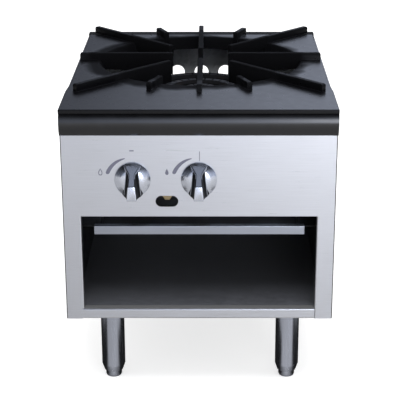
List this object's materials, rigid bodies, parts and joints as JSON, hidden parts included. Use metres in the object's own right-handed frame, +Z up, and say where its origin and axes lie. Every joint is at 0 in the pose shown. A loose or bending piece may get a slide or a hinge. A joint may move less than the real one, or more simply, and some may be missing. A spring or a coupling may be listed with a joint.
{
  "type": "stock pot range",
  "caption": "Free-standing gas stock pot range with a lift-off cast grate over ring burners, front controls, a pull-out drip tray and an open cabinet on adjustable legs.",
  "frame": {"origin": "on the floor under the middle of the range's overall size, from the knobs' faces to the end of the gas pipe", "axes": "+X to the right for a cook who faces the controls, +Y from the front to the back, +Z up"},
  "size_m": [0.4572, 0.6316, 0.542],
  "materials": {
    "stainless": "brushed stainless steel sheet",
    "body_paint": "satin black painted steel sheet",
    "enamelled_iron": "cast iron with a satin black enamel",
    "nose_enamel": "gloss black enamelled steel",
    "liner_enamel": "black painted steel sheet",
    "galvanised_steel": "galvanised steel sheet",
    "burner_iron": "bare sand-cast iron",
    "pipe_iron": "black gas pipe and malleable fittings",
    "valve_brass": "machined brass",
    "pilot_aluminium": "bent aluminium tube",
    "pilot_steel": "turned steel",
    "knob_chrome": "satin chrome on die-cast zinc",
    "leg_steel": "satin plated steel tube",
    "zinc_fasteners": "zinc-plated hex heads"
  },
  "bodies": {
    "cabinet": {"back_panel": "body_paint", "back_panel_screws": "zinc_fasteners", "bottom_rail": "stainless", "cabinet_floor": "galvanised_steel", "control_panel": "stainless", "front_burner_rail": "galvanised_steel", "front_left_leg": "leg_steel", "front_left_leg_plate": "leg_steel", "front_right_leg": "leg_steel", "front_right_leg_plate": "leg_steel", "gas_manifold": "pipe_iron", "inner_gas_valve": "valve_brass", "inner_orifice_hood": "valve_brass", "inner_ring_burner": "burner_iron", "left_base_channel": "galvanised_steel", "left_liner": "liner_enamel", "left_manifold_bracket": "galvanised_steel", "left_side_panel": "body_paint", "left_stile": "stainless", "left_tray_rail": "liner_enamel", "leg_plate_bolts": "zinc_fasteners", "manifold_cap": "pipe_iron", "nose_rail": "nose_enamel", "outer_gas_valve": "valve_brass", "outer_orifice_hood": "valve_brass", "outer_ring_burner": "burner_iron", "pilot_bracket": "galvanised_steel", "pilot_burner": "pilot_steel", "pilot_tube": "pilot_aluminium", "pilot_valve": "valve_brass", "rear_burner_rail": "galvanised_steel", "rear_left_leg": "leg_steel", "rear_left_leg_plate": "leg_steel", "rear_right_leg": "leg_steel", "rear_right_leg_plate": "leg_steel", "right_base_channel": "galvanised_steel", "right_liner": "liner_enamel", "right_manifold_bracket": "galvanised_steel", "right_side_panel": "body_paint", "right_stile": "stainless", "right_tray_rail": "liner_enamel", "slot_surround": "stainless", "supply_elbow": "pipe_iron", "supply_pipe": "pipe_iron"},
    "grate": {"top_grate": "enamelled_iron"},
    "tray": {"drip_tray": "liner_enamel", "tray_side_walls": "liner_enamel", "tray_end_walls": "liner_enamel", "tray_pull": "stainless"},
    "outer_control": {"outer_knob": "knob_chrome", "outer_valve_stem": "pilot_steel"},
    "inner_control": {"inner_knob": "knob_chrome", "inner_valve_stem": "pilot_steel"},
    "outer_shutter": {"outer_air_shutter": "galvanised_steel"},
    "inner_shutter": {"inner_air_shutter": "galvanised_steel"},
    "front_left_leveller": {"front_left_foot": "leg_steel"},
    "front_right_leveller": {"front_right_foot": "leg_steel"},
    "rear_left_leveller": {"rear_left_foot": "leg_steel"},
    "rear_right_leveller": {"rear_right_foot": "leg_steel"}
  },
  "joints": [
    {"name": "grate_lift", "type": "slide", "parent": "cabinet", "child": "grate", "axis": [0, 0, 1], "range_m": [0, 0.12]},
    {"name": "drip_tray_slide", "type": "slide", "parent": "cabinet", "child": "tray", "axis": [0, -1, 0], "range_m": [0, 0.35]},
    {"name": "outer_knob_turn", "type": "hinge", "parent": "cabinet", "child": "outer_control", "pos_m": [-0.11, -0.27725, 0.4064], "axis": [0, -1, 0], "range_deg": [0, 90]},
    {"name": "inner_knob_turn", "type": "hinge", "parent": "cabinet", "child": "inner_control", "pos_m": [0, -0.27725, 0.4064], "axis": [0, -1, 0], "range_deg": [0, 90]},
    {"name": "outer_shutter_turn", "type": "hinge", "parent": "cabinet", "child": "outer_shutter", "pos_m": [-0.11, -0.172, 0.4064], "axis": [0, 1, 0], "range_deg": [0, 45]},
    {"name": "inner_shutter_turn", "type": "hinge", "parent": "cabinet", "child": "inner_shutter", "pos_m": [0, -0.172, 0.4064], "axis": [0, 1, 0], "range_deg": [0, 45]},
    {"name": "front_left_foot_screw", "type": "slide", "parent": "cabinet", "child": "front_left_leveller", "axis": [0, 0, -1], "range_m": [0, 0.025]},
    {"name": "front_right_foot_screw", "type": "slide", "parent": "cabinet", "child": "front_right_leveller", "axis": [0, 0, -1], "range_m": [0, 0.025]},
    {"name": "rear_left_foot_screw", "type": "slide", "parent": "cabinet", "child": "rear_left_leveller", "axis": [0, 0, -1], "range_m": [0, 0.025]},
    {"name": "rear_right_foot_screw", "type": "slide", "parent": "cabinet", "child": "rear_right_leveller", "axis": [0, 0, -1], "range_m": [0, 0.025]}
  ]
}
